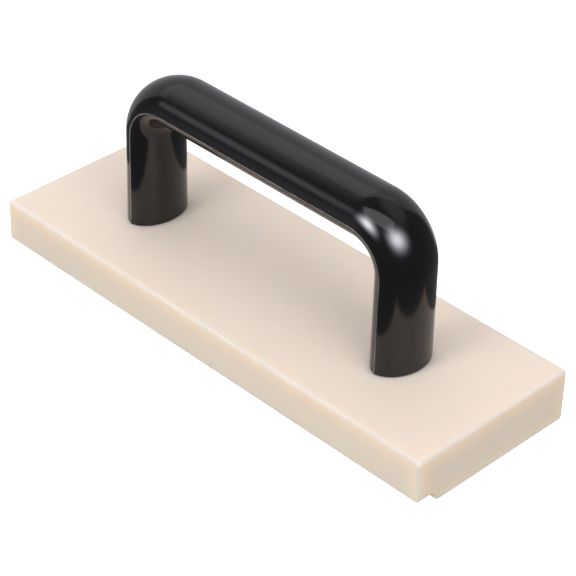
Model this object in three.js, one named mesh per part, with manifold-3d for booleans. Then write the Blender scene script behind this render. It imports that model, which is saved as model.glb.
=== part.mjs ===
// Squeegee applicator: a thick nylon block with a bridge handle bolted on from below.
// Millimetres, +Z up. The origin is the middle of the block's underside. X runs along the
// block, and the rebated working edge faces -Y.
import * as THREE from 'three';
import { mergeVertices } from 'three/addons/utils/BufferGeometryUtils.js';
import Module from 'manifold-3d';

const wasm = await Module();
wasm.setup();

// ---- driving dimensions -------------------------------------------------------------
const BLOCK = { length: 200, width: 70, height: 20, edgeRadius: 1.2 };
const REBATE = { rise: 4, ledge: 7, ramp: 3 };          // along the front lower edge
const HANDLE = {
  pitch: 118,            // between the middles of the two legs
  partingHeight: 50,     // from the block's top up to the grip's parting line
  bendRadius: 14.5,      // of the bends, on the parting line
  halfWidth: 12.5,
  outerDepth: 8.5,       // from the parting line to the outside of the bow
  innerDepth: 7.8,       // from the parting line to the finger side
  creaseSine: 0.99,      // how much of a half ellipse each side keeps: 1 leaves no crease
  draft: 0.02,           // how much wider a leg's section is at its foot
};
const BOLT = { diameter: 6, length: 20, headDiameter: 10, headHeight: 6, chamfer: 0.6 };
const HEX = { acrossFlats: 5, depth: 3 };
const COUNTERBORE = { diameter: 14, depth: 12, mouthChamfer: 0.6 };
const CLEARANCE_HOLE = 6.6;
const WASHER = { outer: 12, inner: 6.6, thickness: 1.6 };
const SPRING_WASHER = { outer: 10, inner: 6.6, thickness: 1.6, split: 1.2 };
const INSERT = { outer: 9, inner: 6.6, length: 12, groove: 0.7, knurlTeeth: 18, knurlDepth: 0.45 };
const SOCKET = { diameter: 9.6, depth: 17 };            // the pocket in each leg's foot

const ROUND = 48;                                       // sides of a round piece
const BEND_STEPS = 12;
const SECTION_STEPS = 22;                               // sides of each half of the grip's section
const CORNER_STEPS = 4;
const CUT_PAST = 1;                                     // how far a cutter runs past a face

// ---- where things lie -----------------------------------------------------------------
const legX = HANDLE.pitch / 2;
const bendBase = BLOCK.height + HANDLE.partingHeight - HANDLE.bendRadius;
const bendX = legX - HANDLE.bendRadius;
const washerBase = COUNTERBORE.depth - WASHER.thickness;
const springWasherBase = washerBase - SPRING_WASHER.thickness;
const headBase = springWasherBase - BOLT.headHeight;

const SIDES = [
  { name: 'left', x: -legX },
  { name: 'right', x: legX },
];

// ---- colours ----------------------------------------------------------------------------
const NYLON = { color: 0xe8d8c8, roughness: 0.55, metalness: 0 };
const BLACK_GLOSS = { color: 0x151416, roughness: 0.18, metalness: 0 };
const BRASS = { color: 0xb8934a, roughness: 0.35, metalness: 1 };
const PLATED_STEEL = { color: 0xb9bcbf, roughness: 0.35, metalness: 1 };

// ---- solids -------------------------------------------------------------------------------
function toSolid(geometry) {
  const bare = geometry.clone();
  bare.deleteAttribute('normal');
  bare.deleteAttribute('uv');
  const merged = mergeVertices(bare, 1e-4);
  const vertProperties = new Float32Array(merged.attributes.position.array);
  const triVerts = new Uint32Array(merged.index.array);
  return new wasm.Manifold(new wasm.Mesh({ numProp: 3, vertProperties, triVerts }));
}

function toGeometry(solid) {
  const { vertProperties, triVerts } = solid.getMesh();
  const geometry = new THREE.BufferGeometry();
  geometry.setAttribute('position', new THREE.BufferAttribute(new Float32Array(vertProperties), 3));
  geometry.setIndex(new THREE.BufferAttribute(new Uint32Array(triVerts), 1));
  geometry.computeVertexNormals();
  return geometry;
}

function cut(geometry, cutters) {
  const pieces = cutters.map(toSolid);
  const rest = pieces.reduce((solid, cutter) => solid.subtract(cutter), toSolid(geometry));
  return toGeometry(rest);
}

// A body turned about Z from a closed outline of [radius, height] points.
function turned(outline, sides = ROUND) {
  const points = outline.map(([radius, height]) => new THREE.Vector2(radius, height));
  const geometry = new THREE.LatheGeometry(points, sides);
  geometry.rotateX(Math.PI / 2);
  return geometry;
}

// A plain round cutter from one height to another.
function drill(diameter, from, to) {
  const radius = diameter / 2;
  return turned([[0, from], [radius, from], [radius, to], [0, to]]);
}

function piece(name, geometry, look) {
  const mesh = new THREE.Mesh(geometry, new THREE.MeshStandardMaterial(look));
  mesh.name = name;
  return mesh;
}

// ---- the block ----------------------------------------------------------------------------
// The block's cross section, with every corner broken by the same small radius.
function blockProfile() {
  const back = BLOCK.width / 2;
  const front = -back;
  const ledgeEnd = front + REBATE.ledge;
  const corners = [
    [ledgeEnd + REBATE.ramp, 0],
    [back, 0],
    [back, BLOCK.height],
    [front, BLOCK.height],
    [front, REBATE.rise],
    [ledgeEnd, REBATE.rise],
  ];
  return roundedShape(corners, BLOCK.edgeRadius);
}

// A closed outline whose corners are quadratic curves that start a set-back before the corner.
function roundedShape(corners, setBack) {
  const at = corners.map(([x, y]) => new THREE.Vector2(x, y));
  const shape = new THREE.Shape();
  at.forEach((corner, i) => {
    const before = at[(i + at.length - 1) % at.length];
    const after = at[(i + 1) % at.length];
    const entry = corner.clone().add(before.clone().sub(corner).setLength(setBack));
    const exit = corner.clone().add(after.clone().sub(corner).setLength(setBack));
    if (i === 0) {
      shape.moveTo(entry.x, entry.y);
    } else {
      shape.lineTo(entry.x, entry.y);
    }
    shape.quadraticCurveTo(corner.x, corner.y, exit.x, exit.y);
  });
  shape.closePath();
  return shape;
}

// A shape drawn in the plane of two axes, made into a prism centred along the third.
// toAxes takes the prism's own x, y and z (its depth) to the block's axes.
function prism(shape, depth, toAxes) {
  const geometry = new THREE.ExtrudeGeometry(shape, {
    depth,
    curveSegments: CORNER_STEPS,
    bevelEnabled: false,
  });
  geometry.translate(0, 0, -depth / 2);
  return geometry.applyMatrix4(toAxes);
}

// The block is what three prisms share, so its edges are broken all the way round.
function blockGeometry() {
  const halfLength = BLOCK.length / 2;
  const halfWidth = BLOCK.width / 2;
  const plan = roundedShape([
    [-halfLength, -halfWidth],
    [halfLength, -halfWidth],
    [halfLength, halfWidth],
    [-halfLength, halfWidth],
  ], BLOCK.edgeRadius);
  const elevation = roundedShape([
    [-halfLength, 0],
    [halfLength, 0],
    [halfLength, BLOCK.height],
    [-halfLength, BLOCK.height],
  ], BLOCK.edgeRadius);
  const alongX = new THREE.Matrix4().set(0, 0, 1, 0, 1, 0, 0, 0, 0, 1, 0, 0, 0, 0, 0, 1);
  const alongY = new THREE.Matrix4().makeRotationX(Math.PI / 2);
  const alongZ = new THREE.Matrix4();
  const bar = toSolid(prism(blockProfile(), BLOCK.length + CUT_PAST, alongX))
    .intersect(toSolid(prism(elevation, BLOCK.width + CUT_PAST, alongY)))
    .intersect(toSolid(prism(plan, 2 * BLOCK.height + CUT_PAST, alongZ)));
  const pockets = SIDES.map(({ x }) => toSolid(boltPocket().translate(x, 0, 0)));
  return toGeometry(pockets.reduce((solid, pocket) => solid.subtract(pocket), bar));
}

// Counterbore from below, with a broken mouth, and the bolt's clearance hole above it.
function boltPocket() {
  const bore = COUNTERBORE.diameter / 2;
  const mouth = bore + COUNTERBORE.mouthChamfer;
  const hole = CLEARANCE_HOLE / 2;
  const over = BLOCK.height + CUT_PAST;
  return turned([
    [0, -CUT_PAST],
    [mouth + CUT_PAST, -CUT_PAST],
    [bore, COUNTERBORE.mouthChamfer],
    [bore, COUNTERBORE.depth],
    [hole, COUNTERBORE.depth],
    [hole, over],
    [0, over],
  ]);
}

// ---- the handle -----------------------------------------------------------------------------
// The parting line's middle: up a leg, round a bend, along the grip, round and down again.
// Every stretch takes the same number of steps whatever its length.
class BowPath extends THREE.Curve {
  constructor() {
    super();
    const side = Math.PI / 2;
    const r = HANDLE.bendRadius;
    this.stretches = [
      { steps: 1, at: (s) => [-legX, BLOCK.height + s * (bendBase - BLOCK.height)], turn: () => side },
      {
        steps: BEND_STEPS,
        at: (s) => [-bendX - r * Math.cos(s * side), bendBase + r * Math.sin(s * side)],
        turn: (s) => side * (1 - s),
      },
      { steps: 2, at: (s) => [bendX * (2 * s - 1), bendBase + r], turn: () => 0 },
      {
        steps: BEND_STEPS,
        at: (s) => [bendX + r * Math.sin(s * side), bendBase + r * Math.cos(s * side)],
        turn: (s) => -side * s,
      },
      { steps: 1, at: (s) => [legX, bendBase - s * (bendBase - BLOCK.height)], turn: () => -side },
    ];
    this.steps = this.stretches.reduce((sum, stretch) => sum + stretch.steps, 0);
  }

  locate(t) {
    let step = t * this.steps;
    for (const stretch of this.stretches.slice(0, -1)) {
      if (step <= stretch.steps) {
        return { stretch, s: step / stretch.steps };
      }
      step -= stretch.steps;
    }
    return { stretch: this.stretches.at(-1), s: step };
  }

  getPoint(t, target = new THREE.Vector3()) {
    const { stretch, s } = this.locate(t);
    const [x, z] = stretch.at(s);
    return target.set(x, 0, z);
  }

  getTangent(t, target = new THREE.Vector3()) {
    const { stretch, s } = this.locate(t);
    const angle = stretch.turn(s);
    return target.set(Math.cos(angle), 0, Math.sin(angle));
  }

  getUtoTmapping(u) {
    return u;
  }
}

// Half of the grip's section: the cap of an ellipse, whose ends lie on the parting line.
// side is +1 for the finger side and -1 for the outside; the last point belongs to the other half.
function halfSection(depth, side) {
  const sine = HANDLE.creaseSine;
  const cosine = Math.sqrt(1 - sine * sine);
  const limit = Math.asin(sine);
  return Array.from({ length: SECTION_STEPS }, (_, i) => {
    const angle = limit * (1 - (2 * i) / SECTION_STEPS);
    const across = (HANDLE.halfWidth * Math.sin(angle)) / sine;
    const out = (depth * (Math.cos(angle) - cosine)) / (1 - cosine);
    return new THREE.Vector2(side * across, side * Math.max(out, 0));
  });
}

// Widens each leg's section evenly down to its foot, as a moulding's draft does.
function addDraft(geometry) {
  const position = geometry.attributes.position;
  const legLength = bendBase - BLOCK.height;
  for (let i = 0; i < position.count; i += 1) {
    const below = Math.max(bendBase - position.getZ(i), 0) / legLength;
    const middle = Math.sign(position.getX(i)) * legX;
    const scale = 1 + HANDLE.draft * below;
    if (below > 0 && Math.abs(position.getX(i)) > bendX) {
      position.setX(i, middle + (position.getX(i) - middle) * scale);
      position.setY(i, position.getY(i) * scale);
    }
  }
  return geometry;
}

function handleGeometry() {
  const path = new BowPath();
  const section = new THREE.Shape([
    ...halfSection(HANDLE.innerDepth, 1),
    ...halfSection(HANDLE.outerDepth, -1),
  ]);
  const bow = new THREE.ExtrudeGeometry(section, { steps: path.steps, extrudePath: path });
  const foot = BLOCK.height;
  const pockets = SIDES.map(({ x }) => {
    const pocket = drill(SOCKET.diameter, foot - CUT_PAST, foot + SOCKET.depth);
    return pocket.translate(x, 0, 0);
  });
  return cut(addDraft(bow), pockets);
}

// ---- the fastenings ---------------------------------------------------------------------------
// Threaded insert: a knurled sleeve with a plain groove round its middle.
function insertGeometry() {
  const radius = INSERT.outer / 2;
  const root = radius - INSERT.knurlDepth;
  const sleeve = new THREE.Shape();
  for (let i = 0; i < 2 * INSERT.knurlTeeth; i += 1) {
    const angle = (Math.PI * i) / INSERT.knurlTeeth;
    const r = i % 2 ? root : radius;
    const point = new THREE.Vector2(r * Math.cos(angle), r * Math.sin(angle));
    if (i === 0) {
      sleeve.moveTo(point.x, point.y);
    } else {
      sleeve.lineTo(point.x, point.y);
    }
  }
  sleeve.closePath();
  const body = new THREE.ExtrudeGeometry(sleeve, { depth: INSERT.length, bevelEnabled: false });
  const middle = INSERT.length / 2;
  const groove = turned([
    [root - INSERT.groove / 2, middle - INSERT.groove],
    [radius + CUT_PAST, middle - INSERT.groove],
    [radius + CUT_PAST, middle + INSERT.groove],
    [root - INSERT.groove / 2, middle + INSERT.groove],
    [root - INSERT.groove / 2, middle - INSERT.groove],
  ]);
  const bore = drill(INSERT.inner, -CUT_PAST, INSERT.length + CUT_PAST);
  return cut(body, [groove, bore]);
}

// Socket head cap screw, head down, from the head's face to the tip of the shank.
function boltGeometry() {
  const head = BOLT.headDiameter / 2;
  const shank = BOLT.diameter / 2;
  const tip = BOLT.headHeight + BOLT.length;
  const body = turned([
    [0, 0],
    [head - BOLT.chamfer, 0],
    [head, BOLT.chamfer],
    [head, BOLT.headHeight],
    [shank, BOLT.headHeight],
    [shank, tip - BOLT.chamfer],
    [shank - BOLT.chamfer, tip],
    [0, tip],
  ]);
  const corner = HEX.acrossFlats / Math.sqrt(3);
  const hexSides = 6;
  const key = new THREE.CylinderGeometry(corner, corner, HEX.depth + CUT_PAST, hexSides);
  key.rotateX(Math.PI / 2);
  key.translate(0, 0, (HEX.depth - CUT_PAST) / 2);
  return cut(body, [key]);
}

function washerGeometry() {
  const inner = WASHER.inner / 2;
  const outer = WASHER.outer / 2;
  return turned([
    [inner, 0],
    [outer, 0],
    [outer, WASHER.thickness],
    [inner, WASHER.thickness],
    [inner, 0],
  ]);
}

// Spring washer: a flat ring pressed closed, with the split left in it.
function springWasherGeometry() {
  const outer = SPRING_WASHER.outer / 2;
  const inner = SPRING_WASHER.inner / 2;
  const outerHalfGap = Math.asin(SPRING_WASHER.split / 2 / outer);
  const innerHalfGap = Math.asin(SPRING_WASHER.split / 2 / inner);
  const ring = new THREE.Shape();
  ring.absarc(0, 0, outer, outerHalfGap, 2 * Math.PI - outerHalfGap, false);
  ring.absarc(0, 0, inner, 2 * Math.PI - innerHalfGap, innerHalfGap, true);
  ring.closePath();
  return new THREE.ExtrudeGeometry(ring, {
    depth: SPRING_WASHER.thickness,
    curveSegments: ROUND / 2,
    bevelEnabled: false,
  });
}

// ---- the assembly -------------------------------------------------------------------------------
function boltStack({ name, x }) {
  const stack = new THREE.Group();
  stack.position.x = x;
  const parts = [
    { label: 'insert', geometry: insertGeometry(), look: BRASS, base: BLOCK.height },
    { label: 'washer', geometry: washerGeometry(), look: PLATED_STEEL, base: washerBase },
    { label: 'spring_washer', geometry: springWasherGeometry(), look: PLATED_STEEL, base: springWasherBase },
    { label: 'screw', geometry: boltGeometry(), look: PLATED_STEEL, base: headBase },
  ];
  for (const { label, geometry, look, base } of parts) {
    const mesh = piece(`${label}_${name}`, geometry, look);
    mesh.position.z = base;
    stack.add(mesh);
  }
  return stack;
}

const applicator = new THREE.Group();
applicator.add(piece('applicator_block', blockGeometry(), NYLON));
applicator.add(piece('handle', handleGeometry(), BLACK_GLOSS));
applicator.add(...SIDES.map(boltStack));

export default applicator;
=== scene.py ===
"""Finished looks for the squeegee applicator: a nylon block with a black bridge handle.

Laid out as an add-on and run as a script. Every length is in metres, in the frame of the
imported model: +X along the block, -Y its rebated working edge, +Z up, the sole at z = 0.
"""

import math

import bpy
import numpy as np
from bpy.props import FloatProperty, FloatVectorProperty, PointerProperty
from mathutils import Matrix, Vector


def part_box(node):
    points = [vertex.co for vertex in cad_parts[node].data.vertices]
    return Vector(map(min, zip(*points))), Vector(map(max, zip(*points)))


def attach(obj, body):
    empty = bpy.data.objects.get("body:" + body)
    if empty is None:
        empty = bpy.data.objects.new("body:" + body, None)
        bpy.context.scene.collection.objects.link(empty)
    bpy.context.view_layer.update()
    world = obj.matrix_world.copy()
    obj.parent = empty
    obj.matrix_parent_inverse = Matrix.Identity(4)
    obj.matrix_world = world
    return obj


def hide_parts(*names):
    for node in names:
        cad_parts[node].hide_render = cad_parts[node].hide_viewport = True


bl_info = {
    "name": "Squeegee applicator",
    "version": (1, 0, 0),
    "blender": (4, 5, 0),
    "location": "View3D > Sidebar > Applicator",
    "description": "Builds the block, the bridge handle and their fastenings round the packed model",
    "category": "Object",
}

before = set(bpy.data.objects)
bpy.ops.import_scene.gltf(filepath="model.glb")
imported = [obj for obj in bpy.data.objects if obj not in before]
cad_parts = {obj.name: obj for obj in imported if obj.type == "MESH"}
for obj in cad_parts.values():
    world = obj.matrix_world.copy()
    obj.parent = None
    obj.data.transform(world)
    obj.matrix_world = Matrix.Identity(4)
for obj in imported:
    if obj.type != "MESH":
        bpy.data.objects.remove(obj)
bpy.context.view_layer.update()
BODY = "root"
SIDES = ("left", "right")

BLOCK_LOW, BLOCK_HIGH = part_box("applicator_block")
HANDLE_LOW, HANDLE_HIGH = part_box("handle")
LEG_X = (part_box("screw_right")[0].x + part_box("screw_right")[1].x) / 2
MM = 0.001
SUPPORT = 0.2 * MM  # from a rounding to the row of points that holds its shading
COLUMNS = 96  # points round a turned piece
KNURLED_COLUMNS = 120  # points round an insert
MIDDLE_RANGE = (0.25, 0.75)  # where most of the grain's values lie
LAMP_DISTANCE = 1.5  # from the handle's middle
TWIN_DISTANCE = 0.99  # a twin's distance, as a share of its softbox's
SENSOR_WIDTH = 36.0  # millimetres
BACKDROP_STRENGTH = 1.1  # a little over white


# ---- settings ----------------------------------------------------------------------------
def length(name, description, millimetres):
    """A length setting, shown in scene units."""
    return FloatProperty(
        name=name,
        description=description,
        default=millimetres * MM,
        min=0.0,
        unit="LENGTH",
        precision=5,
    )


def factor(name, description, default, top=1.0):
    """A plain number from 0 to top."""
    return FloatProperty(
        name=name, description=description, default=default, min=0.0, max=top, subtype="FACTOR"
    )


def colour(name, description, default):
    """A linear colour."""
    return FloatVectorProperty(
        name=name,
        description=description,
        default=default,
        min=0.0,
        max=1.0,
        size=3,
        subtype="COLOR",
    )


def angle(name, description, degrees):
    """An angle, kept in radians and shown in degrees."""
    return FloatProperty(
        name=name, description=description, default=math.radians(degrees), subtype="ANGLE"
    )


class BlockSettings(bpy.types.PropertyGroup):
    """Sizes and colours of the nylon block."""

    edge_radius: length("Edge radius", "Rounding of every outer edge", 1.2)
    inner_radius: length("Inner radius", "Fillet in the rebate's inner corner", 0.6)
    # painted shade: the band along each edge that takes the darker, greyer edge colour
    edge_reach: length("Edge reach", "Width of the paler band along an edge", 1.7)
    # painted light: the band on the sides where the warm glow colour stands in for light from the
    # top coming through
    glow_reach: length("Glow reach", "Width of the warmer band where light comes through", 8.0)
    rebate_rise: length("Rebate rise", "Height of the ledge above the sole", 4.0)
    rebate_ledge: length("Rebate ledge", "Width of the ledge, from the front face", 7.0)
    rebate_ramp: length("Rebate ramp", "Run of the ramp behind the ledge", 3.0)
    bore: length("Counterbore", "Diameter of the screw pockets in the sole", 14.0)
    bore_depth: length("Counterbore depth", "Depth of the screw pockets", 12.0)
    bore_chamfer: length("Mouth chamfer", "Chamfer round the mouth of a pocket", 0.6)
    hole: length("Clearance hole", "Diameter of the hole above a pocket", 6.6)
    nylon: colour("Nylon", "Colour of the machined faces", (0.793, 0.713, 0.583))
    # painted shade: darker and greyer than the nylon, for the light that its translucent edges lose
    edge: colour("Edge", "Paler colour of the scraped edges", (0.60, 0.575, 0.55))
    # painted light: warm colour for light from the top that comes through near the edges
    glow: colour("Glow", "Warmer colour beside the edges", (0.87, 0.76, 0.59))
    speck: colour("Speck", "Colour of the few specks in the sheet", (0.42, 0.30, 0.20))
    roughness: factor("Roughness", "Roughness of the machined faces", 0.52)
    translucency: factor("Translucency", "Share of the light that spreads inside", 1.0)
    spread: length("Spread", "How far the light spreads inside the nylon", 5.0)


class HandleSettings(bpy.types.PropertyGroup):
    """Sizes and colours of the bridge handle."""

    outer_depth: length("Outer depth", "From the parting line to the outside of the bow", 8.5)
    inner_depth: length("Inner depth", "From the parting line to the finger side", 7.8)
    bend_radius: length("Bend radius", "Radius of the bends on the parting line", 14.5)
    crease: factor("Crease", "How much of a half ellipse each side keeps", 0.99)
    draft: factor("Draft", "How much wider a leg is at its foot", 0.02)
    flash_width: length("Flash width", "Half width of the ridge on the parting line", 0.18)
    flash_height: length("Flash height", "Height of the ridge on the parting line", 0.09)
    # painted highlight: the paler colour given to the ridge on the parting line
    flash: colour("Flash", "Colour of the scraped ridge", (0.26, 0.25, 0.24))
    foot_radius: length("Foot radius", "Rounding round the foot of a leg", 0.35)
    socket: length("Socket", "Diameter of the insert's pocket in a foot", 9.6)
    socket_depth: length("Socket depth", "Depth of that pocket", 17.0)
    plastic: colour("Plastic", "Colour of the moulding", (0.0034, 0.0032, 0.0036))
    roughness: factor("Roughness", "Roughness of the polished moulding", 0.13)


class FasteningSettings(bpy.types.PropertyGroup):
    """Sizes and colours of the screws, washers and inserts."""

    head_height: length("Head height", "Height of a cap screw's head", 6.0)
    shank: length("Shank", "Outer diameter of a screw's thread", 6.0)
    pitch: length("Thread pitch", "Pitch of the M6 thread", 1.0)
    thread_depth: length("Thread depth", "Depth of the thread", 0.5)
    hexagon: length("Hexagon", "Width of the hexagon socket across its flats", 5.0)
    hexagon_depth: length("Hexagon depth", "Depth of the hexagon socket", 3.0)
    chamfer: length("Chamfer", "Small chamfer on the turned edges", 0.35)
    washer_hole: length("Washer hole", "Hole of both kinds of washer", 6.6)
    split: length("Split", "Gap in the spring washer", 1.2)
    insert_bore: length("Insert bore", "Diameter of an insert's bore at its thread's roots", 6.6)
    insert_thread: length("Insert thread", "Depth of the thread in an insert", 0.2)
    knurl_depth: length("Knurl depth", "Depth of the insert's knurling", 0.35)
    grip_depth: length("Grip depth", "Depth of the fine ribs round a screw's head", 0.12)
    steel: colour("Steel", "Colour of the plated steel", (0.60, 0.61, 0.63))
    brass: colour("Brass", "Colour of the inserts", (0.70, 0.50, 0.22))
    steel_roughness: factor("Steel roughness", "Roughness of the plated steel", 0.30)
    brass_roughness: factor("Brass roughness", "Roughness of the brass", 0.28)


class StageSettings(bpy.types.PropertyGroup):
    """Camera, floor and lamps."""

    lens: FloatProperty(
        name="Lens", description="Focal length", default=141.15, min=1.0, unit="CAMERA"
    )
    azimuth: angle("Azimuth", "Camera's turn from the front towards +X", 44.92)
    elevation: angle("Elevation", "Camera's height above the horizon", 35.37)
    roll: angle("Roll", "Camera's roll about its view", 1.33)
    distance: length("Distance", "From the aim point to the camera", 796.7)
    aim: FloatVectorProperty(
        name="Aim",
        description="Point on the floor that the camera looks at",
        default=(-0.0138, 0.0206, 0.0),
        size=3,
        subtype="TRANSLATION",
    )
    floor: colour("Floor", "Colour of the floor", (0.45, 0.45, 0.45))
    floor_glow: factor("Floor glow", "Evenness of the pale floor under its shadows", 0.9)
    bounce: colour("Bounce", "Light that the floor throws up at the block", (0.37, 0.36, 0.35))
    lamp_tint: colour("Lamp tint", "Colour of the lamps and of the room", (0.96, 0.93, 1.0))
    fill_tint: colour("Fill tint", "Colour of the low fill lamps", (1.0, 0.95, 0.86))
    ambient: factor("Ambient", "Soft light from all round", 0.43)
    mirrored: factor("Mirrored room", "Brightness of the room in reflections", 0.17)
    left_box: factor("Left softbox", "Radiance at the middle of the left softbox", 8.5, 50.0)
    right_box: factor("Right softbox", "Radiance at the middle of the right softbox", 4.5, 50.0)
    hot_spot: factor("Hot spots", "Extra radiance of a softbox in reflections", 16.0, 50.0)
    overhead: factor("Overhead", "Radiance at the middle of the overhead cloth", 1.35, 50.0)
    cloth: factor("Mirrored cloth", "Radiance of the overhead cloth in mirrors", 1.9, 50.0)
    ceiling: factor("Mirrored ceiling", "Radiance of the ceiling behind", 0.5, 50.0)
    side_wall: factor("Side wall", "Radiance of the white wall at the far left", 0.48, 50.0)
    upper_wall: factor("Upper wall", "Extra radiance of the top of that wall", 0.51, 50.0)
    high_strip: factor("High strip", "Radiance beside the left softbox", 1.05, 50.0)
    low_strip: factor("Low strip", "Radiance below the left softbox", 0.33, 50.0)
    low_fill: factor("Low fill", "Radiance of the low lamps that only lift the sides", 2.8, 50.0)


# ---- meshes ------------------------------------------------------------------------------
def ring_faces(rows, columns):
    """Quads between neighbouring rings: ring r, column c joins ring r + 1, column c + 1."""
    row = np.arange(rows - 1)[:, None]
    column = np.arange(columns)[None, :]
    after = (column + 1) % columns
    corners = (
        row * columns + column,
        row * columns + after,
        (row + 1) * columns + after,
        (row + 1) * columns + column,
    )
    return np.stack(corners, axis=-1).reshape(-1, 4)


def new_object(name, points, quads, triangles=()):
    """A mesh object from whole arrays of points and faces."""
    mesh = bpy.data.meshes.new(name)
    faces = quads.tolist() + np.asarray(triangles, int).tolist()
    mesh.from_pydata(points.tolist(), [], faces)
    mesh.validate()
    piece = bpy.data.objects.new(name, mesh)
    bpy.context.scene.collection.objects.link(piece)
    return piece


def capped_skin(name, rings):
    """A closed skin from rings (rings, columns, 3). The columns join up, and the first and
    the last ring each shrink to one point, their middle."""
    count, columns = rings.shape[:2]
    inner = rings[1:-1].reshape(-1, 3)
    poles = np.stack([rings[0].mean(0), rings[-1].mean(0)])
    points = np.concatenate([inner, poles])
    quads = ring_faces(count - 2, columns)
    here = np.arange(columns)
    after = (here + 1) % columns
    first_pole = np.full(columns, len(inner))
    last_ring = (count - 3) * columns
    start = np.stack([first_pole, after, here], axis=-1)
    end = np.stack([first_pole + 1, last_ring + here, last_ring + after], axis=-1)
    return new_object(name, points, quads, np.concatenate([start, end]))


def looped_skin(name, rings):
    """A closed ring-shaped skin from rings (rings, columns, 3): the columns join up, and the
    last ring joins the first."""
    count, columns = rings.shape[:2]
    quads = ring_faces(count + 1, columns) % (count * columns)
    return new_object(name, rings.reshape(-1, 3), quads)


def paint(piece, name, values):
    """Stores one number for each point of the piece, for its material to read."""
    layer = piece.data.attributes.new(name, "FLOAT", "POINT")
    layer.data.foreach_set("value", values.astype(np.float32).ravel())


def sharpen(piece, degrees):
    """Shades the piece smooth, with an edge sharp where its faces turn more than this."""
    mesh = piece.data
    mesh.shade_smooth()
    mesh.set_sharp_from_angle(angle=math.radians(degrees))


def signed_volume(mesh):
    """Sum over the faces' triangles of a . (b x c) / 6, positive when they face outwards."""
    mesh.calc_loop_triangles()
    points = np.empty(len(mesh.vertices) * 3)
    mesh.vertices.foreach_get("co", points)
    corners = np.empty(len(mesh.loop_triangles) * 3, dtype=np.int32)
    mesh.loop_triangles.foreach_get("vertices", corners)
    a, b, c = np.moveaxis(points.reshape(-1, 3)[corners.reshape(-1, 3)], 1, 0)
    return float(np.einsum("ij,ij->i", a, np.cross(b, c)).sum() / 6)


def face_outwards(piece):
    """Turns every face round if the closed mesh faces inwards."""
    if signed_volume(piece.data) < 0:
        piece.data.flip_normals()


def finish_piece(piece, material, node, crease_degrees):
    """Shading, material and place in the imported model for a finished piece."""
    face_outwards(piece)
    sharpen(piece, crease_degrees)
    piece.data.materials.clear()
    piece.data.materials.append(material)
    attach(piece, BODY)
    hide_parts(node)


def turned_rings(radii, heights, columns, middle=(0.0, 0.0)):
    """A turned surface: ring i is a circle of radius radii[i] at height heights[i]. radii may
    also be (rings, columns), which gives a radius that changes round the ring."""
    radii = np.asarray(radii, float)
    if radii.ndim == 1:
        radii = np.repeat(radii[:, None], columns, axis=1)
    heights = np.asarray(heights, float)
    if heights.ndim == 1:
        heights = np.repeat(heights[:, None], columns, axis=1)
    turn = np.linspace(0, 2 * np.pi, columns, endpoint=False)
    x = middle[0] + radii * np.cos(turn)
    y = middle[1] + radii * np.sin(turn)
    return np.stack([x, y, heights], axis=-1)


# ---- shader nodes ------------------------------------------------------------------------
def add_node(tree, kind, inputs=None, **values):
    """A shader node with its properties set, and its inputs given as values or as sockets
    to link."""
    made = tree.nodes.new(f"ShaderNode{kind}")
    for name, value in values.items():
        setattr(made, name, value)
    for key, value in (inputs or {}).items():
        if isinstance(value, bpy.types.NodeSocket):
            tree.links.new(value, made.inputs[key])
        else:
            made.inputs[key].default_value = value
    return made


def maths(tree, operation, *terms):
    """A Math node's result."""
    return add_node(tree, "Math", dict(enumerate(terms)), operation=operation).outputs[0]


def ramp(tree, value, low, high, to_low=0.0, to_high=1.0):
    """value taken smoothly from low..high to to_low..to_high."""
    inputs = {
        "Value": value,
        "From Min": low,
        "From Max": high,
        "To Min": to_low,
        "To Max": to_high,
    }
    made = add_node(tree, "MapRange", inputs, interpolation_type="SMOOTHSTEP")
    return made.outputs["Result"]


def mix_colour(tree, share, first, second):
    """first where share is 0, second where it is 1."""
    made = add_node(tree, "Mix", {0: share}, data_type="RGBA")
    for socket, value in ((6, first), (7, second)):
        if isinstance(value, bpy.types.NodeSocket):
            tree.links.new(value, made.inputs[socket])
        else:
            made.inputs[socket].default_value = (*value, 1.0)
    return made.outputs[2]


def vector_maths(tree, operation, first, second):
    """A Vector Math node's outputs."""
    inputs = {0: first, 1: second}
    return add_node(tree, "VectorMath", inputs, operation=operation).outputs


def noise(tree, position, scale, detail, roughness):
    """A Noise Texture's value."""
    inputs = {"Vector": position, "Scale": scale, "Detail": detail, "Roughness": roughness}
    return add_node(tree, "TexNoise", inputs).outputs["Fac"]


def mix_shader(tree, share, first, second):
    """A node that shows the first shader's node where share is 0, the second where it is 1."""
    inputs = {0: share, 1: first.outputs[0], 2: second.outputs[0]}
    return add_node(tree, "MixShader", inputs)


def new_group(name, inputs, outputs):
    """A shader node group with named sockets. Gives the tree, its inputs and its output node."""
    tree = bpy.data.node_groups.new(name, "ShaderNodeTree")
    for label, (kind, default) in inputs.items():
        socket = tree.interface.new_socket(label, in_out="INPUT", socket_type=kind)
        if default is not None:
            socket.default_value = default
    for label, kind in outputs.items():
        tree.interface.new_socket(label, in_out="OUTPUT", socket_type=kind)
    source = tree.nodes.new("NodeGroupInput")
    target = tree.nodes.new("NodeGroupOutput")
    return tree, source.outputs, target


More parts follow.
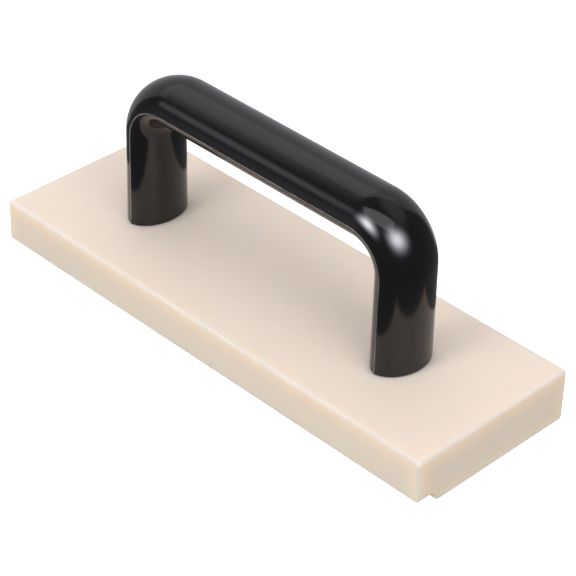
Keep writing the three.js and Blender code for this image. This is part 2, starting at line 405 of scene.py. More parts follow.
def grain_group():
    """Fine surface grain: noise at two sizes, about six times apart, along a stretched
    position."""
    found = bpy.data.node_groups.get("Surface grain")
    if found:
        return found
    inputs = {
        "Position": ("NodeSocketVector", None),
        "Stretch": ("NodeSocketVector", (1.0, 1.0, 1.0)),
        "Scale": ("NodeSocketFloat", 1000.0),
        "Coarse share": ("NodeSocketFloat", 0.4),
    }
    tree, given, out = new_group("Surface grain", inputs, {"Height": "NodeSocketFloat"})
    stretched = vector_maths(tree, "MULTIPLY", given["Position"], given["Stretch"])[0]
    fine = noise(tree, stretched, given["Scale"], 3.0, 0.6)
    wide = maths(tree, "MULTIPLY", given["Scale"], 0.17)
    coarse = noise(tree, stretched, wide, 2.0, 0.5)
    shares = {0: given["Coarse share"], 2: fine, 3: coarse}
    mixed = add_node(tree, "Mix", shares, data_type="FLOAT").outputs[0]
    tree.links.new(mixed, out.inputs["Height"])
    return tree


def drift_group():
    """Slow change of tone over a surface: the colour times 1 plus or minus an amount."""
    found = bpy.data.node_groups.get("Tone drift")
    if found:
        return found
    inputs = {
        "Colour": ("NodeSocketColor", None),
        "Position": ("NodeSocketVector", None),
        "Scale": ("NodeSocketFloat", 20.0),
        "Amount": ("NodeSocketFloat", 0.05),
    }
    outputs = {"Colour": "NodeSocketColor", "Mask": "NodeSocketFloat"}
    tree, given, out = new_group("Tone drift", inputs, outputs)
    slow = noise(tree, given["Position"], given["Scale"], 4.0, 0.55)
    centred = maths(tree, "SUBTRACT", slow, 0.5)
    swing = maths(tree, "MULTIPLY", centred, given["Amount"])
    gain = maths(tree, "MULTIPLY_ADD", swing, 2.0, 1.0)
    scaled = {0: given["Colour"], "Scale": gain}
    tinted = add_node(tree, "VectorMath", scaled, operation="SCALE").outputs[0]
    tree.links.new(tinted, out.inputs["Colour"])
    tree.links.new(slow, out.inputs["Mask"])
    return tree


def edge_group():
    """Closeness to the nearest edge of a box: the second smallest of the distances to its
    faces along X, Y and Z, taken smoothly from 1 at the edge to 0 at the reach."""
    found = bpy.data.node_groups.get("Box edges")
    if found:
        return found
    inputs = {
        "Position": ("NodeSocketVector", None),
        "Half length": ("NodeSocketFloat", 0.1),
        "Half width": ("NodeSocketFloat", 0.035),
        "Half height": ("NodeSocketFloat", 0.01),
        "Reach": ("NodeSocketFloat", 0.002),
    }
    tree, given, out = new_group("Box edges", inputs, {"Mask": "NodeSocketFloat"})
    parts = add_node(tree, "SeparateXYZ", {0: given["Position"]}).outputs
    sizes = (given["Half length"], given["Half width"], given["Half height"])
    lifted = maths(tree, "SUBTRACT", parts[2], given["Half height"])
    gaps = [
        maths(tree, "SUBTRACT", size, maths(tree, "ABSOLUTE", place))
        for size, place in zip(sizes, (parts[0], parts[1], lifted))
    ]
    least = maths(tree, "MINIMUM", gaps[0], gaps[1])
    most = maths(tree, "MAXIMUM", gaps[0], gaps[1])
    second = maths(tree, "MAXIMUM", least, maths(tree, "MINIMUM", most, gaps[2]))
    mask = ramp(tree, second, 0.0, given["Reach"], 1.0, 0.0)
    tree.links.new(mask, out.inputs["Mask"])
    return tree


def use_group(tree, group, inputs):
    """Places a group in a material and gives its outputs."""
    return add_node(tree, "Group", inputs, node_tree=group).outputs


def grain(tree, position, scale, coarse, stretch=(1.0, 1.0, 1.0)):
    """The height of the surface grain."""
    inputs = {"Position": position, "Stretch": stretch, "Scale": scale, "Coarse share": coarse}
    return use_group(tree, grain_group(), inputs)["Height"]


def drift(tree, position, tone, scale, amount):
    """The drifting colour and its mask."""
    inputs = {"Colour": (*tone, 1.0), "Position": position, "Scale": scale, "Amount": amount}
    return use_group(tree, drift_group(), inputs)


def new_material(name):
    """A material with a Principled shader. Gives it, its tree, the shader and the position."""
    material = bpy.data.materials.new(name)
    material.use_nodes = True
    tree = material.node_tree
    shader = tree.nodes["Principled BSDF"]
    position = add_node(tree, "TexCoord").outputs["Object"]
    return material, tree, shader, position


def set_bump(tree, shader, height, strength, distance):
    """Feeds a height into the shader's normal."""
    inputs = {"Height": height, "Strength": strength, "Distance": distance}
    bump = add_node(tree, "Bump", inputs)
    tree.links.new(bump.outputs["Normal"], shader.inputs["Normal"])


def nylon_material(settings):
    """Machined cream nylon: slightly translucent, with painted shade in a greyer band along the
    edges, painted light in a warmer band on the sides where light from the top comes through,
    faint tool marks and a few specks."""
    material, tree, shader, position = new_material("cream nylon")
    machined = drift(tree, position, settings.nylon, 22.0, 0.02)["Colour"]
    box = {
        "Position": position,
        "Half length": BLOCK_HIGH.x,
        "Half width": BLOCK_HIGH.y,
        "Half height": BLOCK_HIGH.z / 2,
    }
    # Painted shade along every edge, broken up unevenly, for the light that the translucent edges
    # lose; the same band also makes the edges rougher and less shiny.
    edge = use_group(tree, edge_group(), {**box, "Reach": settings.edge_reach})["Mask"]
    beside = use_group(tree, edge_group(), {**box, "Reach": settings.glow_reach})["Mask"]
    least_edge_shade = 0.55
    breakup = ramp(tree, grain(tree, position, 420.0, 0.6), 0.2, 0.75, least_edge_shade, 1.0)
    shaded_edge = maths(tree, "MULTIPLY", edge, breakup)
    cells = {"Vector": position, "Scale": 34.0, "Randomness": 1.0}
    spots = add_node(tree, "TexVoronoi", cells, feature="F1").outputs
    near = ramp(tree, spots["Distance"], 0.010, 0.022, 1.0, 0.0)
    chance = add_node(tree, "SeparateColor", {0: spots["Color"]}).outputs[0]
    strongest = 0.7
    specks = maths(tree, "MULTIPLY", near, ramp(tree, chance, 0.80, 0.95, 0.0, strongest))
    # Painted light: a warmer band on the sides, just below the top edges, for light from the top
    # that comes through the nylon.
    height = add_node(tree, "SeparateXYZ", {0: position}).outputs[2]
    top = BLOCK_HIGH.z - settings.edge_radius / 2
    side = ramp(tree, height, top - settings.edge_radius, top, 1.0, 0.0)
    let_through = maths(tree, "MULTIPLY", beside, side)
    warmer = mix_colour(tree, let_through, machined, settings.glow)
    # painted shade mixed in along the edges
    paler = mix_colour(tree, shaded_edge, warmer, settings.edge)
    tree.links.new(mix_colour(tree, specks, paler, settings.speck), shader.inputs["Base Color"])
    along_block = (0.12, 1.0, 1.0)
    marks = grain(tree, position, 1500.0, 0.45, along_block)
    base = settings.roughness
    satin = ramp(tree, marks, *MIDDLE_RANGE, base - 0.06, base + 0.08)
    extra_at_edges = 0.35
    rough = maths(tree, "MULTIPLY_ADD", shaded_edge, extra_at_edges, satin)
    tree.links.new(rough, shader.inputs["Roughness"])
    face_shine, edge_shine = 0.35, 0.08
    shine = ramp(tree, shaded_edge, 0.0, 1.0, face_shine, edge_shine)
    tree.links.new(shine, shader.inputs["Specular IOR Level"])
    set_bump(tree, shader, marks, strength=0.25, distance=0.08 * MM)
    shader.inputs["IOR"].default_value = 1.5
    shader.inputs["Subsurface Weight"].default_value = settings.translucency
    shader.inputs["Subsurface Radius"].default_value = (1.0, 0.72, 0.5)
    shader.inputs["Subsurface Scale"].default_value = settings.spread
    return material


def handle_material(settings):
    """Polished black moulding: faint orange peel, slow changes of gloss, and a painted highlight
    on the parting line that is paler, rougher and uneven along its length."""
    material, tree, shader, position = new_material("black moulding")
    moulded = drift(tree, position, settings.plastic, 60.0, 0.12)
    # Painted highlight: a paler colour on the flash ridge of the parting line, uneven along its
    # length; the ridge is also rougher.
    ridge = add_node(tree, "Attribute", attribute_name="flash").outputs["Fac"]
    least_highlight = 0.25
    patches = ramp(tree, grain(tree, position, 160.0, 0.5), 0.38, 0.6, least_highlight, 1.0)
    flash = maths(tree, "MULTIPLY", ridge, patches)
    painted = mix_colour(tree, flash, moulded["Colour"], settings.flash)
    tree.links.new(painted, shader.inputs["Base Color"])
    base = settings.roughness
    gloss = ramp(tree, moulded["Mask"], 0.3, 0.7, base - 0.015, base + 0.02)
    extra_on_highlight = 0.22
    rough = maths(tree, "MULTIPLY_ADD", flash, extra_on_highlight, gloss)
    tree.links.new(rough, shader.inputs["Roughness"])
    peel = grain(tree, position, 900.0, 0.7)
    set_bump(tree, shader, peel, strength=0.06, distance=0.04 * MM)
    shader.inputs["IOR"].default_value = 1.47
    return material


def metal_material(name, tint, roughness, stretch, scale):
    """Turned or plated metal: fine marks that also change its gloss, and a slow drift of
    tone."""
    material, tree, shader, position = new_material(name)
    toned = drift(tree, position, tint, 180.0, 0.12)["Colour"]
    tree.links.new(toned, shader.inputs["Base Color"])
    marks = grain(tree, position, scale, 0.4, stretch)
    rough = ramp(tree, marks, *MIDDLE_RANGE, roughness - 0.06, roughness + 0.1)
    tree.links.new(rough, shader.inputs["Roughness"])
    set_bump(tree, shader, marks, strength=0.3, distance=0.03 * MM)
    shader.inputs["Metallic"].default_value = 1.0
    return material


def steel_material(settings):
    """The plated steel that the screws and washers share, with its marks drawn out up the
    screws."""
    name = "plated steel"
    drawn_up = (1.0, 1.0, 0.3)
    return bpy.data.materials.get(name) or metal_material(
        name, settings.steel, settings.steel_roughness, drawn_up, 2600.0
    )


def brass_material(settings):
    """The turned brass of the inserts, with its marks running round them."""
    name = "turned brass"
    round_about = (0.15, 0.15, 1.0)
    return bpy.data.materials.get(name) or metal_material(
        name, settings.brass, settings.brass_roughness, round_about, 4000.0
    )


# ---- the block ---------------------------------------------------------------------------
def straight_steps(span, count):
    """Places from 0 to 1 along a straight stretch, the last left out, with one place close
    to each end to hold the rounding beside it."""
    furthest = 0.2
    near = min(SUPPORT / span, furthest)
    return np.concatenate([[0.0, near], np.linspace(near, 1 - near, count + 1)[1:]])


def rounded_outline(corners, radii, arc_steps, span_steps):
    """A closed outline, anticlockwise, whose corners are arcs tangent to their two sides.
    Gives the points and the outward normals. At a corner with turn t and radius r the arc
    starts r tan(|t| / 2) before it; its centre lies r inside for a convex corner and r
    outside for a hollow one, and point = centre + sign(t) r normal."""
    corners = np.asarray(corners, float)
    arriving = corners - np.roll(corners, 1, axis=0)
    arriving /= np.linalg.norm(arriving, axis=1, keepdims=True)
    leaving = np.roll(arriving, -1, axis=0)
    turns = np.arctan2(
        arriving[:, 0] * leaving[:, 1] - arriving[:, 1] * leaving[:, 0],
        (arriving * leaving).sum(axis=1),
    )
    set_back = np.asarray(radii) * np.tan(np.abs(turns) / 2)
    entries = corners - arriving * set_back[:, None]
    exits = corners + leaving * set_back[:, None]
    points, normals = [], []
    for i, turn in enumerate(turns):
        bend = math.copysign(1.0, turn)
        first = math.atan2(arriving[i, 1], arriving[i, 0]) - math.pi / 2
        facing = first + turn * np.linspace(0, 1, arc_steps, endpoint=False)
        normal = np.stack([np.cos(facing), np.sin(facing)], axis=-1)
        centre = entries[i] - bend * radii[i] * normal[0]
        points.append(centre + bend * radii[i] * normal)
        normals.append(normal)
        span = entries[(i + 1) % len(corners)] - exits[i]
        along = straight_steps(float(np.linalg.norm(span)), span_steps)
        points.append(exits[i] + span * along[:, None])
        flat = np.array([leaving[i, 1], -leaving[i, 0]])
        normals.append(np.repeat(flat[None, :], len(along), axis=0))
    return np.concatenate(points), np.concatenate(normals)


def block_outline(settings):
    """The block's section across its length, as y and z, with the rebate at the front."""
    ledge_end = BLOCK_LOW.y + settings.rebate_ledge
    low, high = BLOCK_LOW.z, BLOCK_HIGH.z
    corners = [
        (ledge_end + settings.rebate_ramp, low),
        (BLOCK_HIGH.y, low),
        (BLOCK_HIGH.y, high),
        (BLOCK_LOW.y, high),
        (BLOCK_LOW.y, settings.rebate_rise),
        (ledge_end, settings.rebate_rise),
    ]
    radii = [settings.edge_radius] * (len(corners) - 1) + [settings.inner_radius]
    return rounded_outline(corners, radii, arc_steps=8, span_steps=8)


def block_rings(settings):
    """The outline carried along X. Over the last edge radius r before an end, at angle a, a
    ring lies r (1 - cos a) inside the end's face and the outline is drawn in by
    r (1 - sin a) along its normals; the end's flat face shrinks to its middle."""
    arc_steps, length_steps = 9, 40
    outline, normals = block_outline(settings)
    r = settings.edge_radius
    drawn_in = outline - normals * r
    middle = np.array([0.0, BLOCK_HIGH.z / 2])
    shrink = np.array([0.0, 0.3, 0.6, 0.9, 0.985])
    caps = middle + (drawn_in - middle) * shrink[:, None, None]
    round_off = np.linspace(0, np.pi / 2, arc_steps)
    edges = drawn_in + normals * (r * np.sin(round_off))[:, None, None]
    inset = np.concatenate([np.zeros(len(shrink)), r * (1 - np.cos(round_off))])
    half = np.concatenate([caps, edges])
    left_x = BLOCK_LOW.x + inset
    right_x = BLOCK_HIGH.x - inset[::-1]
    span = right_x[0] - left_x[-1]
    spans = straight_steps(span, length_steps)[1:]
    middle_x = left_x[-1] + span * spans
    body = np.repeat(outline[None], len(spans), axis=0)
    section = np.concatenate([half, body, half[::-1]])
    x = np.concatenate([left_x, middle_x, right_x])
    x = np.repeat(x[:, None], section.shape[1], axis=1)
    return np.concatenate([x[..., None], section], axis=-1)


def pocket_cutter(settings, x):
    """Turned cutter for one screw pocket: a chamfered mouth, the counterbore and the
    clearance hole above it, past both faces of the block."""
    past = 1.0 * MM
    bore = settings.bore / 2
    hole = settings.hole / 2
    mouth = bore + settings.bore_chamfer + past
    low, high = BLOCK_LOW.z - past, BLOCK_HIGH.z + past
    chamfer_top = BLOCK_LOW.z + settings.bore_chamfer
    seat = BLOCK_LOW.z + settings.bore_depth
    radii = [0, mouth, bore, bore, hole, hole, 0]
    heights = [low, low, chamfer_top, seat, seat, high, high]
    rings = turned_rings(radii, heights, COLUMNS, (x, 0.0))
    cutter = capped_skin("pocket_cutter", rings)
    face_outwards(cutter)
    return cutter


def cut_away(piece, cutters):
    """Cuts the cutters out of the piece, keeps the result as its mesh and removes them."""
    for cutter in cutters:
        modifier = piece.modifiers.new(cutter.name, "BOOLEAN")
        modifier.operation = "DIFFERENCE"
        modifier.solver = "EXACT"
        modifier.object = cutter
    graph = bpy.context.evaluated_depsgraph_get()
    result = bpy.data.meshes.new_from_object(piece.evaluated_get(graph))
    piece.modifiers.clear()
    piece.data = result
    for cutter in cutters:
        bpy.data.objects.remove(cutter)


class APPLICATOR_OT_block(bpy.types.Operator):
    """Builds the nylon block with its rebate and screw pockets"""

    bl_idname = "applicator.block"
    bl_label = "Block"

    def execute(self, context):
        settings = context.scene.applicator_block
        piece = capped_skin("nylon_block", block_rings(settings))
        face_outwards(piece)
        cut_away(piece, [pocket_cutter(settings, side * LEG_X) for side in (-1, 1)])
        finish_piece(piece, nylon_material(settings), "applicator_block", 25.0)
        return {"FINISHED"}


# ---- the handle --------------------------------------------------------------------------
def half_section(settings, depth, count):
    """One side of the grip's section, from one parting line to the other: across =
    w sin(a) / k and out = d (cos(a) - c) / (1 - c), with k the crease and c the cosine that
    goes with it, where a runs between the two angles whose sine is k. Its steps follow a
    sine, so that they are finest beside the parting lines."""
    sine = settings.crease
    cosine = math.sqrt(1 - sine * sine)
    half_width = HANDLE_HIGH.y / (1 + settings.draft) - settings.flash_height
    a = math.asin(sine) * np.sin(np.linspace(-np.pi / 2, np.pi / 2, count))
    across = half_width * np.sin(a) / sine
    out = depth * (np.cos(a) - cosine) / (1 - cosine)
    return across, out


def grip_section(settings):
    """The whole section, as across (y) and out from the parting line, and the height of the
    flash from 0 to 1: a smooth bell exp(-(out / half width)^2), pushed across."""
    side_points = 110
    outer = half_section(settings, settings.outer_depth, side_points)
    inner = half_section(settings, -settings.inner_depth, side_points)
    across = np.concatenate([outer[0][:-1], inner[0][::-1][:-1]])
    out = np.concatenate([outer[1][:-1], inner[1][::-1][:-1]])
    bell = np.exp(-((out / settings.flash_width) ** 2))
    return across + np.sign(across) * settings.flash_height * bell, out, bell


def bow_path(settings):
    """The middle of the parting line, from the left foot to the right. Gives x, z, the
    outward direction and the draft's widening. A bend is an arc about its centre, and the
    draft grows evenly from the bend down to the foot."""
    r = settings.bend_radius
    foot = BLOCK_HIGH.z
    line = HANDLE_HIGH.z - settings.outer_depth
    bend_z = line - r
    bend_x = LEG_X - r
    leg, bend, grip = 24, 40, 60
    rise = np.linspace(foot, bend_z, leg, endpoint=False)
    turn = np.linspace(0, np.pi / 2, bend, endpoint=False)
    along = np.linspace(-bend_x, bend_x, grip, endpoint=False)
    x = np.concatenate([np.full(leg, -LEG_X), -bend_x - r * np.cos(turn), along])
    z = np.concatenate([rise, bend_z + r * np.sin(turn), np.full(grip, line)])
    out_x = np.concatenate([np.full(leg, -1.0), -np.cos(turn), np.zeros(grip)])
    out_z = np.concatenate([np.zeros(leg), np.sin(turn), np.ones(grip)])
    back = slice(0, leg + bend)
    x = np.concatenate([x, [bend_x], -x[back][::-1]])
    z = np.concatenate([z, [line], z[back][::-1]])
    out_x = np.concatenate([out_x, [0.0], -out_x[back][::-1]])
    out_z = np.concatenate([out_z, [1.0], out_z[back][::-1]])
    below = np.clip((bend_z - z) / (bend_z - foot), 0, 1)
    return x, z, out_x, out_z, 1 + settings.draft * below


def handle_rings(settings):
    """The section carried along the bow: point = path + out * outward + across * Y, with the
    foot closed by a ring that runs from the section to the insert's round pocket."""
    across, out, bell = grip_section(settings)
    x, z, out_x, out_z, widen = bow_path(settings)
    wide = out * widen[:, None]
    bow_x = x[:, None] + out_x[:, None] * wide
    bow_z = z[:, None] + out_z[:, None] * wide
    bow = np.stack([bow_x, across * widen[:, None], bow_z], axis=-1)
    left = foot_rings(settings, bow[0], -1.0)
    right = foot_rings(settings, bow[-1], 1.0)[::-1]
    rings = np.concatenate([left, bow[1:-1], right])
    flash = np.zeros(rings.shape[:2])
    flash[len(left) : -len(right)] = bell
    return rings, flash


def foot_rings(settings, outline, side):
    """Rings from the pocket's ceiling down to its mouth and out over the foot. The foot's
    edge is a quarter circle, and each column keeps its angle about the leg's middle."""
    foot = BLOCK_HIGH.z
    middle = np.array([side * LEG_X, 0.0])
    arm = outline[:, :2] - middle
    reach = np.linalg.norm(arm, axis=1)
    aim = arm / reach[:, None]
    bore = settings.socket / 2
    r = settings.foot_radius
    ceiling = foot + settings.socket_depth
    corner = np.linspace(0, np.pi / 2, 5)
    radii = [np.zeros_like(reach), np.full_like(reach, bore * 0.98)]
    heights = [ceiling, ceiling]
    for height in np.linspace(ceiling - SUPPORT, foot + SUPPORT, 3):
        radii.append(np.full_like(reach, bore))
        heights.append(height)
    radii.append(np.full_like(reach, bore + SUPPORT))
    heights.append(foot)
    radii.extend(reach - r + r * math.sin(a) for a in corner)
    heights.extend(foot + r * (1 - math.cos(a)) for a in corner)
    flat = middle + aim * np.array(radii)[..., None]
    level = np.repeat(np.array(heights)[:, None], len(reach), axis=1)
    return np.concatenate([flat, level[..., None]], axis=-1)


class APPLICATOR_OT_handle(bpy.types.Operator):
    """Builds the bridge handle with its parting line and insert pockets"""

    bl_idname = "applicator.handle"
    bl_label = "Handle"

    def execute(self, context):
        settings = context.scene.applicator_handle
        rings, flash = handle_rings(settings)
        piece = capped_skin("bridge_handle", rings)
        paint(piece, "flash", np.append(flash[1:-1], [0.0, 0.0]))
        finish_piece(piece, handle_material(settings), "handle", 40.0)
        return {"FINISHED"}


# ---- the fastenings ----------------------------------------------------------------------
def thread(height, turn, pitch, depth):
    """How far a thread's flank lies below its crest: a triangle wave, 0 to depth, that moves
    on by one pitch for each turn."""
    phase = (height[:, None] / pitch - turn[None, :] / (2 * np.pi)) % 1.0
    return depth * np.abs(2 * phase - 1)


def turned_box(node):
    """Lowest and highest z of a CAD node, its middle in plan and its radius along Y."""
    low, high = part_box(node)
    middle = ((low.x + high.x) / 2, (low.y + high.y) / 2)
    return low.z, high.z, middle, (high.y - low.y) / 2


def screw_rings(settings, node):
    """A socket head cap screw, head down: hexagon socket, ribbed head, bearing face, then a
    shank whose radius follows the thread. The hexagon's radius at angle t is
    (flats / 2) / cos(t taken into -30..30 degrees)."""
    low, high, middle, head = turned_box(node)
    turn = np.linspace(0, 2 * np.pi, COLUMNS, endpoint=False)
    sixth = np.pi / 3
    hexagon = settings.hexagon / 2 / np.cos((turn + sixth / 2) % sixth - sixth / 2)
    ribs = COLUMNS / 3
    ribbed = head - settings.grip_depth * (0.5 + 0.5 * np.cos(turn * ribs))
    c = settings.chamfer
    seat = low + settings.head_height
    shank = settings.shank / 2
    floor = low + settings.hexagon_depth
    fillet = 0.3 * MM
    lip = 0.2 * MM
    plain = np.ones(COLUMNS)
    socket = [
        (plain * 0.0, floor + 2.5 * lip),
        (hexagon * 0.6, floor + lip),
        (hexagon, floor),
        (hexagon, low + 0.75 * lip),
        (hexagon + lip, low),
    ]
    outside = [
        (plain * (head - 2.2 * c), low),
        (plain * (head - 1.2 * c), low + 0.15 * c),
        (plain * (head - 0.35 * c), low + 0.8 * c),
        (ribbed, low + 1.5 * c),
        (ribbed, seat - 1.3 * c),
        (plain * (head - lip / 2), seat - 0.6 * c),
        (plain * (head - c), seat),
        (plain * (shank + fillet), seat),
        (plain * shank, seat + fillet),
    ]
    radii, heights = zip(*socket, *outside)
    plain_shank = 0.8 * MM
    point = 0.9 * MM
    run = np.linspace(seat + plain_shank, high - 0.1 * lip, 230)
    fade = np.clip((run - run[0]) / settings.pitch, 0, 1)[:, None]
    tip = np.clip((high - run) / point, 0, 1)[:, None]
    crest = shank - (1 - tip) * settings.thread_depth * 1.1
    cut = thread(run, turn, settings.pitch, settings.thread_depth) * fade
    body = np.minimum(shank - cut, crest)
    end = [plain * 0.4 * shank, plain * 0.0]
    radii = np.concatenate([radii, body, end])
    heights = np.concatenate([heights, run, [high, high]])
    return turned_rings(radii, heights, COLUMNS, middle)


def insert_rings(settings, node):
    """A threaded insert, as a closed ring: up the knurled outside and down the threaded
    bore. The knurl is two crossing helical waves, kept off the middle groove."""
    low, high, middle, radius = turned_box(node)
    turn = np.linspace(0, 2 * np.pi, KNURLED_COLUMNS, endpoint=False)
    c = settings.chamfer
    height = high - low
    z = np.linspace(c, height - c, 72)
    waves_round, twist = 9, 1.1 / MM
    waves = [np.abs(np.cos(waves_round * turn + s * z[:, None] * twist)) for s in (-1, 1)]
    crossing = np.maximum(*waves)
    groove_depth, groove_half_width, groove_flank = 0.55 * MM, 0.9 * MM, 0.3 * MM
    from_middle = np.abs(z - height / 2)[:, None]
    groove = np.clip((groove_half_width - from_middle) / groove_flank, 0, 1)
    outside = radius - settings.knurl_depth * (1 - crossing) - groove_depth * groove
    bore_z = np.linspace(height - c, c, KNURLED_COLUMNS)
    root = settings.insert_bore / 2
    bore = root - thread(bore_z, turn, settings.pitch, settings.insert_thread)
    plain = np.ones((1, KNURLED_COLUMNS))
    mouth = plain * (root + settings.insert_thread)
    rim = plain * (radius - 2 * c)
    radii = np.concatenate([mouth, rim, outside, rim, mouth, bore])
    heights = np.concatenate([[0, 0], z, [height, height], bore_z])
    return turned_rings(radii, low + heights, KNURLED_COLUMNS, middle)


def washer_section(settings, low, high, outer):
    """The radii and heights round a washer's square section with small chamfers."""
    inner = settings.washer_hole / 2
    c = settings.chamfer * 0.4
    radii = [inner + c, outer - c, outer, outer, outer - c, inner + c, inner, inner]
    heights = [low, low, low + c, high - c, high, high, high - c, low + c]
    return np.array(radii), np.array(heights)


def washer_rings(settings, node):
    """A plain washer: its section turned about Z."""
    low, high, middle, outer = turned_box(node)
    return turned_rings(*washer_section(settings, low, high, outer), COLUMNS, middle)


def spring_washer_rings(settings, node):
    """A split ring: the section carried round from one side of the gap to the other, and
    closed at both ends. The split is slanted: the section leans along the ring by an angle
    that grows with its height."""
    low, high, middle, outer = turned_box(node)
    radius, height = washer_section(settings, low, high, outer)
    mean_radius = (outer + settings.washer_hole / 2) / 2
    gap = math.asin(settings.split / 2 / mean_radius)
    turn = np.linspace(gap, 2 * np.pi - gap, COLUMNS)
    turn = np.concatenate([[turn[0]], turn, [turn[-1]]])
    slant = 0.16
    lean = (height - (low + high) / 2) / (high - low) * slant
    swept = turn[:, None] + lean[None, :]
    x = middle[0] + radius * np.cos(swept)
    y = middle[1] + radius * np.sin(swept)
    z = np.repeat(height[None, :], len(turn), axis=0)
    return np.stack([x, y, z], axis=-1)


class APPLICATOR_OT_screws(bpy.types.Operator):
    """Builds the two socket head cap screws"""

    bl_idname = "applicator.screws"
    bl_label = "Screws"

    def execute(self, context):
        settings = context.scene.applicator_fastenings
        for side in SIDES:
            node = f"screw_{side}"
            piece = capped_skin(f"cap_screw_{side}", screw_rings(settings, node))
            finish_piece(piece, steel_material(settings), node, 30.0)
        return {"FINISHED"}


class APPLICATOR_OT_washers(bpy.types.Operator):
    """Builds the plain washers and the spring washers"""

    bl_idname = "applicator.washers"
    bl_label = "Washers"

    def execute(self, context):
        settings = context.scene.applicator_fastenings
        for side in SIDES:
            node = f"washer_{side}"
            plain = looped_skin(f"flat_washer_{side}", washer_rings(settings, node))
            finish_piece(plain, steel_material(settings), node, 30.0)
            node = f"spring_washer_{side}"
            sprung = capped_skin(f"lock_washer_{side}", spring_washer_rings(settings, node))
            finish_piece(sprung, steel_material(settings), node, 30.0)
        return {"FINISHED"}


class APPLICATOR_OT_inserts(bpy.types.Operator):
    """Builds the knurled brass inserts in the handle's feet"""

    bl_idname = "applicator.inserts"
    bl_label = "Inserts"

    def execute(self, context):
        settings = context.scene.applicator_fastenings
        for side in SIDES:
            node = f"insert_{side}"
            piece = looped_skin(f"brass_insert_{side}", insert_rings(settings, node))
            finish_piece(piece, brass_material(settings), node, 30.0)
        return {"FINISHED"}


# ---- the stage ---------------------------------------------------------------------------
def direction(azimuth, elevation):
    """The unit vector towards an azimuth, 0 at the front and 90 towards +X, and elevation."""
    return Vector(
        (
            math.sin(azimuth) * math.cos(elevation),
            -math.cos(azimuth) * math.cos(elevation),
            math.sin(elevation),
        )
    )


def make_camera(settings):
    """Aims the camera at a point on the floor, with a small roll."""
    camera = bpy.data.objects.new("camera", bpy.data.cameras.new("camera"))
    bpy.context.scene.collection.objects.link(camera)
    camera.data.lens = settings.lens
    camera.data.sensor_width = SENSOR_WIDTH
    camera.data.clip_start = 0.01
    camera.data.clip_end = 50.0
    away = direction(settings.azimuth, settings.elevation)
    turn = away.to_track_quat("Z", "Y").to_matrix().to_4x4()
    place = Matrix.Translation(Vector(settings.aim) + away * settings.distance)
    camera.matrix_world = place @ turn @ Matrix.Rotation(settings.roll, 4, "Z")
    bpy.context.scene.camera = camera


def make_floor(settings):
    """A wide pale floor just under the sole, hidden from glossy and transmission rays, so that the
    glossy handle mirrors the dim room round it; the camera sees it pale, other rays see its bounce.
    From below it is clear, so that the sole shows."""
    half = 6.0
    below = -0.05 * MM
    corners = np.array([[-half, -half], [half, -half], [half, half], [-half, half]])
    points = np.column_stack([corners, np.full(4, below)])
    floor = new_object("floor", points, np.array([[0, 1, 2, 3]]))
    material, tree, shader, position = new_material("pale floor")
    toned = drift(tree, position, settings.floor, 3.0, 0.01)["Colour"]
    tree.links.new(toned, shader.inputs["Base Color"])
    shader.inputs["Roughness"].default_value = 0.9
    shader.inputs["Specular IOR Level"].default_value = 0.0
    shader.inputs["Emission Color"].default_value = (1.0, 1.0, 1.0, 1.0)
    shader.inputs["Emission Strength"].default_value = settings.floor_glow
    light = {"Color": (*settings.bounce, 1.0), "Strength": 1.0}
    bounce = add_node(tree, "Emission", light)
    seen = add_node(tree, "LightPath").outputs["Is Camera Ray"]
    surface = mix_shader(tree, seen, bounce, shader)
    under = add_node(tree, "NewGeometry").outputs["Backfacing"]
    clear = add_node(tree, "BsdfTransparent")
    one_way = mix_shader(tree, under, surface, clear)
    tree.links.new(one_way.outputs[0], tree.nodes["Material Output"].inputs["Surface"])
    floor.data.materials.append(material)
    floor.visible_glossy = False
    floor.visible_transmission = False


def make_world(settings):
    """White where the camera sees it, dim to reflections, and an even soft fill elsewhere."""
    world = bpy.data.worlds.new("studio")
    bpy.context.scene.world = world
    world.use_nodes = True
    tree = world.node_tree
    fill = tree.nodes["Background"]
    tint = (*settings.lamp_tint, 1.0)
    fill.inputs["Color"].default_value = tint
    fill.inputs["Strength"].default_value = settings.ambient
    room = {"Color": tint, "Strength": settings.mirrored}
    dark = add_node(tree, "Background", room)
    backdrop = {"Color": (1.0, 1.0, 1.0, 1.0), "Strength": BACKDROP_STRENGTH}
    white = add_node(tree, "Background", backdrop)
    path = add_node(tree, "LightPath").outputs
    glossy = mix_shader(tree, path["Is Glossy Ray"], fill, dark)
    seen = mix_shader(tree, path["Is Camera Ray"], glossy, white)
    tree.links.new(seen.outputs[0], tree.nodes["World Output"].inputs["Surface"])


def soften(lamp, hardness):
    """Lets a cloth fade from its bright middle to its rim: strength = exp(-(16 r^2)^h), where
    r runs from 0 in the middle to 0.5 at the middle of each side and h is the hardness."""
    lamp.use_nodes = True
    tree = lamp.node_tree
    place = add_node(tree, "NewGeometry").outputs["Parametric"]
    offset = vector_maths(tree, "SUBTRACT", place, (0.5, 0.5, 0.0))[0]
    flat = vector_maths(tree, "MULTIPLY", offset, (1.0, 1.0, 0.0))[0]
    square = vector_maths(tree, "DOT_PRODUCT", flat, flat)["Value"]
    reach = maths(tree, "POWER", maths(tree, "MULTIPLY", square, 16.0), hardness)
    fade = maths(tree, "EXPONENT", maths(tree, "MULTIPLY", reach, -1.0))
    tree.links.new(fade, tree.nodes["Emission"].inputs["Strength"])


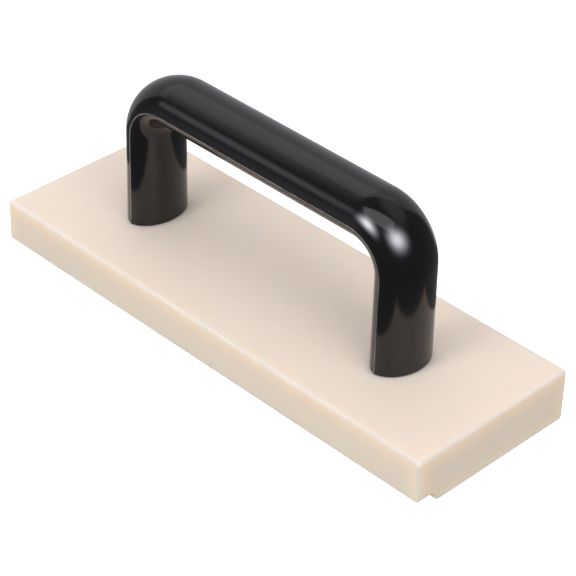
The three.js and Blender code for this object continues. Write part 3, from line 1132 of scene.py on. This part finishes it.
def make_lamp(name, radiance, tint, azimuth, elevation, wide, high, hardness):
    """A rectangular lamp that faces the handle from a direction given in degrees. Its power
    is pi times its area times its radiance. A hardness of 0 leaves it even to its rim."""
    lamp = bpy.data.lights.new(name, "AREA")
    lamp.shape = "RECTANGLE"
    lamp.size = wide
    lamp.size_y = high
    lamp.energy = math.pi * wide * high * radiance
    lamp.color = tint
    if hardness:
        soften(lamp, hardness)
    holder = bpy.data.objects.new(name, lamp)
    bpy.context.scene.collection.objects.link(holder)
    away = direction(math.radians(azimuth), math.radians(elevation))
    middle = Vector((0.0, 0.0, HANDLE_HIGH.z / 2))
    turn = away.to_track_quat("Z", "Y").to_matrix().to_4x4()
    holder.matrix_world = Matrix.Translation(middle + away * LAMP_DISTANCE) @ turn
    holder.visible_camera = False
    return holder


# For each lamp: the setting with its radiance, its azimuth and elevation in degrees, its width
# and height in metres, and the hardness of its fade.
LAMPS = {
    "left softbox": ("left_box", -7, 37, 1.3, 1.25, 1.0),
    "right softbox": ("right_box", 73, 38, 1.9, 1.45, 1.0),
    "overhead cloth": ("overhead", 40, 80, 2.8, 2.2, 1.0),
    "mirrored cloth": ("cloth", 24, 69, 1.6, 0.78, 0.0),
    "mirrored ceiling": ("ceiling", 165, 63, 3.2, 1.9, 2.0),
    "side wall": ("side_wall", -130, 15, 3.8, 3.0, 0.0),
    "upper wall": ("upper_wall", -102, 48, 3.2, 1.3, 3.0),
    "high strip": ("high_strip", -46, 32, 0.8, 1.0, 2.0),
    "low strip": ("low_strip", -32, 0, 1.5, 2.0, 1.0),
    "front fill": ("low_fill", 0, 10, 2.2, 1.0, 1.0),
    "right fill": ("low_fill", 95, 10, 2.2, 1.0, 1.0),
}
SOFTBOXES = ("left softbox", "right softbox")
FILLS = ("front fill", "right fill")
UNSEEN_IN_MIRRORS = ("overhead cloth", *FILLS)
SEEN_IN_MIRRORS_ALONE = ("mirrored cloth", "mirrored ceiling")


def make_lamps(settings):
    """All the lamps. A softbox has a twin just in front of it that only mirrors show."""
    for name, (setting, *place) in LAMPS.items():
        tint = settings.fill_tint if name in FILLS else settings.lamp_tint
        lamp = make_lamp(name, getattr(settings, setting), tint, *place)
        lamp.visible_glossy = name not in UNSEEN_IN_MIRRORS
        lamp.visible_diffuse = name not in SEEN_IN_MIRRORS_ALONE
        if name in SOFTBOXES:
            twin = make_lamp(f"{name} hot spot", settings.hot_spot, tint, *place)
            twin.visible_diffuse = False
            twin.location *= TWIN_DISTANCE


class APPLICATOR_OT_stage(bpy.types.Operator):
    """Sets the camera, the floor, the room and the lamps"""

    bl_idname = "applicator.stage"
    bl_label = "Stage"

    def execute(self, context):
        settings = context.scene.applicator_stage
        make_camera(settings)
        make_floor(settings)
        make_world(settings)
        make_lamps(settings)
        context.scene.view_settings.view_transform = "Standard"
        return {"FINISHED"}


# ---- the add-on --------------------------------------------------------------------------
class APPLICATOR_PT_panel(bpy.types.Panel):
    """Lists the settings and the steps that build the applicator"""

    bl_idname = "APPLICATOR_PT_panel"
    bl_label = "Squeegee applicator"
    bl_space_type = "VIEW_3D"
    bl_region_type = "UI"
    bl_category = "Applicator"

    def draw(self, context):
        for name, label, steps in SECTIONS:
            box = self.layout.box()
            box.label(text=label)
            settings = getattr(context.scene, name)
            for field in settings.__annotations__:
                box.prop(settings, field)
            for step in steps:
                box.operator(step.bl_idname)


SECTIONS = (
    ("applicator_block", "Block", (APPLICATOR_OT_block,)),
    ("applicator_handle", "Handle", (APPLICATOR_OT_handle,)),
    (
        "applicator_fastenings",
        "Fastenings",
        (APPLICATOR_OT_screws, APPLICATOR_OT_washers, APPLICATOR_OT_inserts),
    ),
    ("applicator_stage", "Stage", (APPLICATOR_OT_stage,)),
)
GROUPS = {
    "applicator_block": BlockSettings,
    "applicator_handle": HandleSettings,
    "applicator_fastenings": FasteningSettings,
    "applicator_stage": StageSettings,
}
OPERATORS = tuple(step for _, _, steps in SECTIONS for step in steps)
CLASSES = (*GROUPS.values(), *OPERATORS, APPLICATOR_PT_panel)


def register():
    for item in CLASSES:
        bpy.utils.register_class(item)
    for name, group in GROUPS.items():
        setattr(bpy.types.Scene, name, PointerProperty(type=group))


def unregister():
    for name in GROUPS:
        delattr(bpy.types.Scene, name)
    for item in reversed(CLASSES):
        bpy.utils.unregister_class(item)


def main():
    register()
    bpy.ops.applicator.stage()
    bpy.ops.applicator.block()
    bpy.ops.applicator.handle()
    bpy.ops.applicator.screws()
    bpy.ops.applicator.washers()
    bpy.ops.applicator.inserts()


if __name__ == "__main__":
    main()
